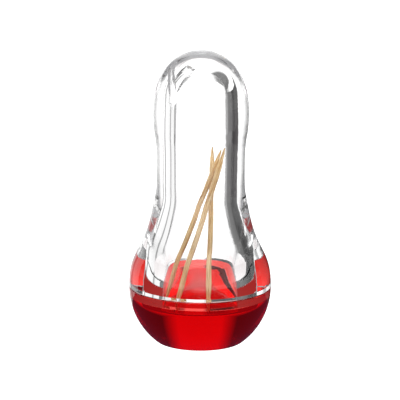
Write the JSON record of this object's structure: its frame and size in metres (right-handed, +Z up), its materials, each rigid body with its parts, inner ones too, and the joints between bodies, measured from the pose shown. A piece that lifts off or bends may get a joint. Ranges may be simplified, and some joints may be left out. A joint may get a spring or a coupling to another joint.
{
  "type": "toothpick dispenser",
  "caption": "Toothpick dispenser: a red bowl under a clear thick-walled bell whose slanted channel lets out one toothpick at a time.",
  "frame": {"origin": "middle of the flat foot, on the surface the dispenser stands on", "axes": "+Z up the axis of the bowl and bell, -Y towards the front, +X to the right; the dispensing channel leans out at the left front"},
  "size_m": [0.055, 0.055, 0.114],
  "materials": {
    "red_acrylic": "polished, see-through red",
    "clear_acrylic": "polished, clear",
    "birch": "plain sanded birch"
  },
  "bodies": {
    "bowl": {"red_bowl": "red_acrylic"},
    "bell": {"clear_bell": "clear_acrylic"},
    "toothpick_1": {"toothpick_1": "birch"},
    "toothpick_2": {"toothpick_2": "birch"},
    "toothpick_3": {"toothpick_3": "birch"}
  },
  "joints": [
    {"name": "bell_lift", "type": "slide", "parent": "bowl", "child": "bell", "axis": [0, 0, 1], "range_m": [0, 0.065]},
    {"name": "toothpick_1_rise", "type": "slide", "parent": "bowl", "child": "toothpick_1", "axis": [0, 0, 1], "range_m": [0, 0.017]},
    {"name": "toothpick_2_rise", "type": "slide", "parent": "bowl", "child": "toothpick_2", "axis": [0, 0, 1], "range_m": [0, 0.019]},
    {"name": "toothpick_3_rise", "type": "slide", "parent": "bowl", "child": "toothpick_3", "axis": [0, 0, 1], "range_m": [0, 0.005]}
  ]
}
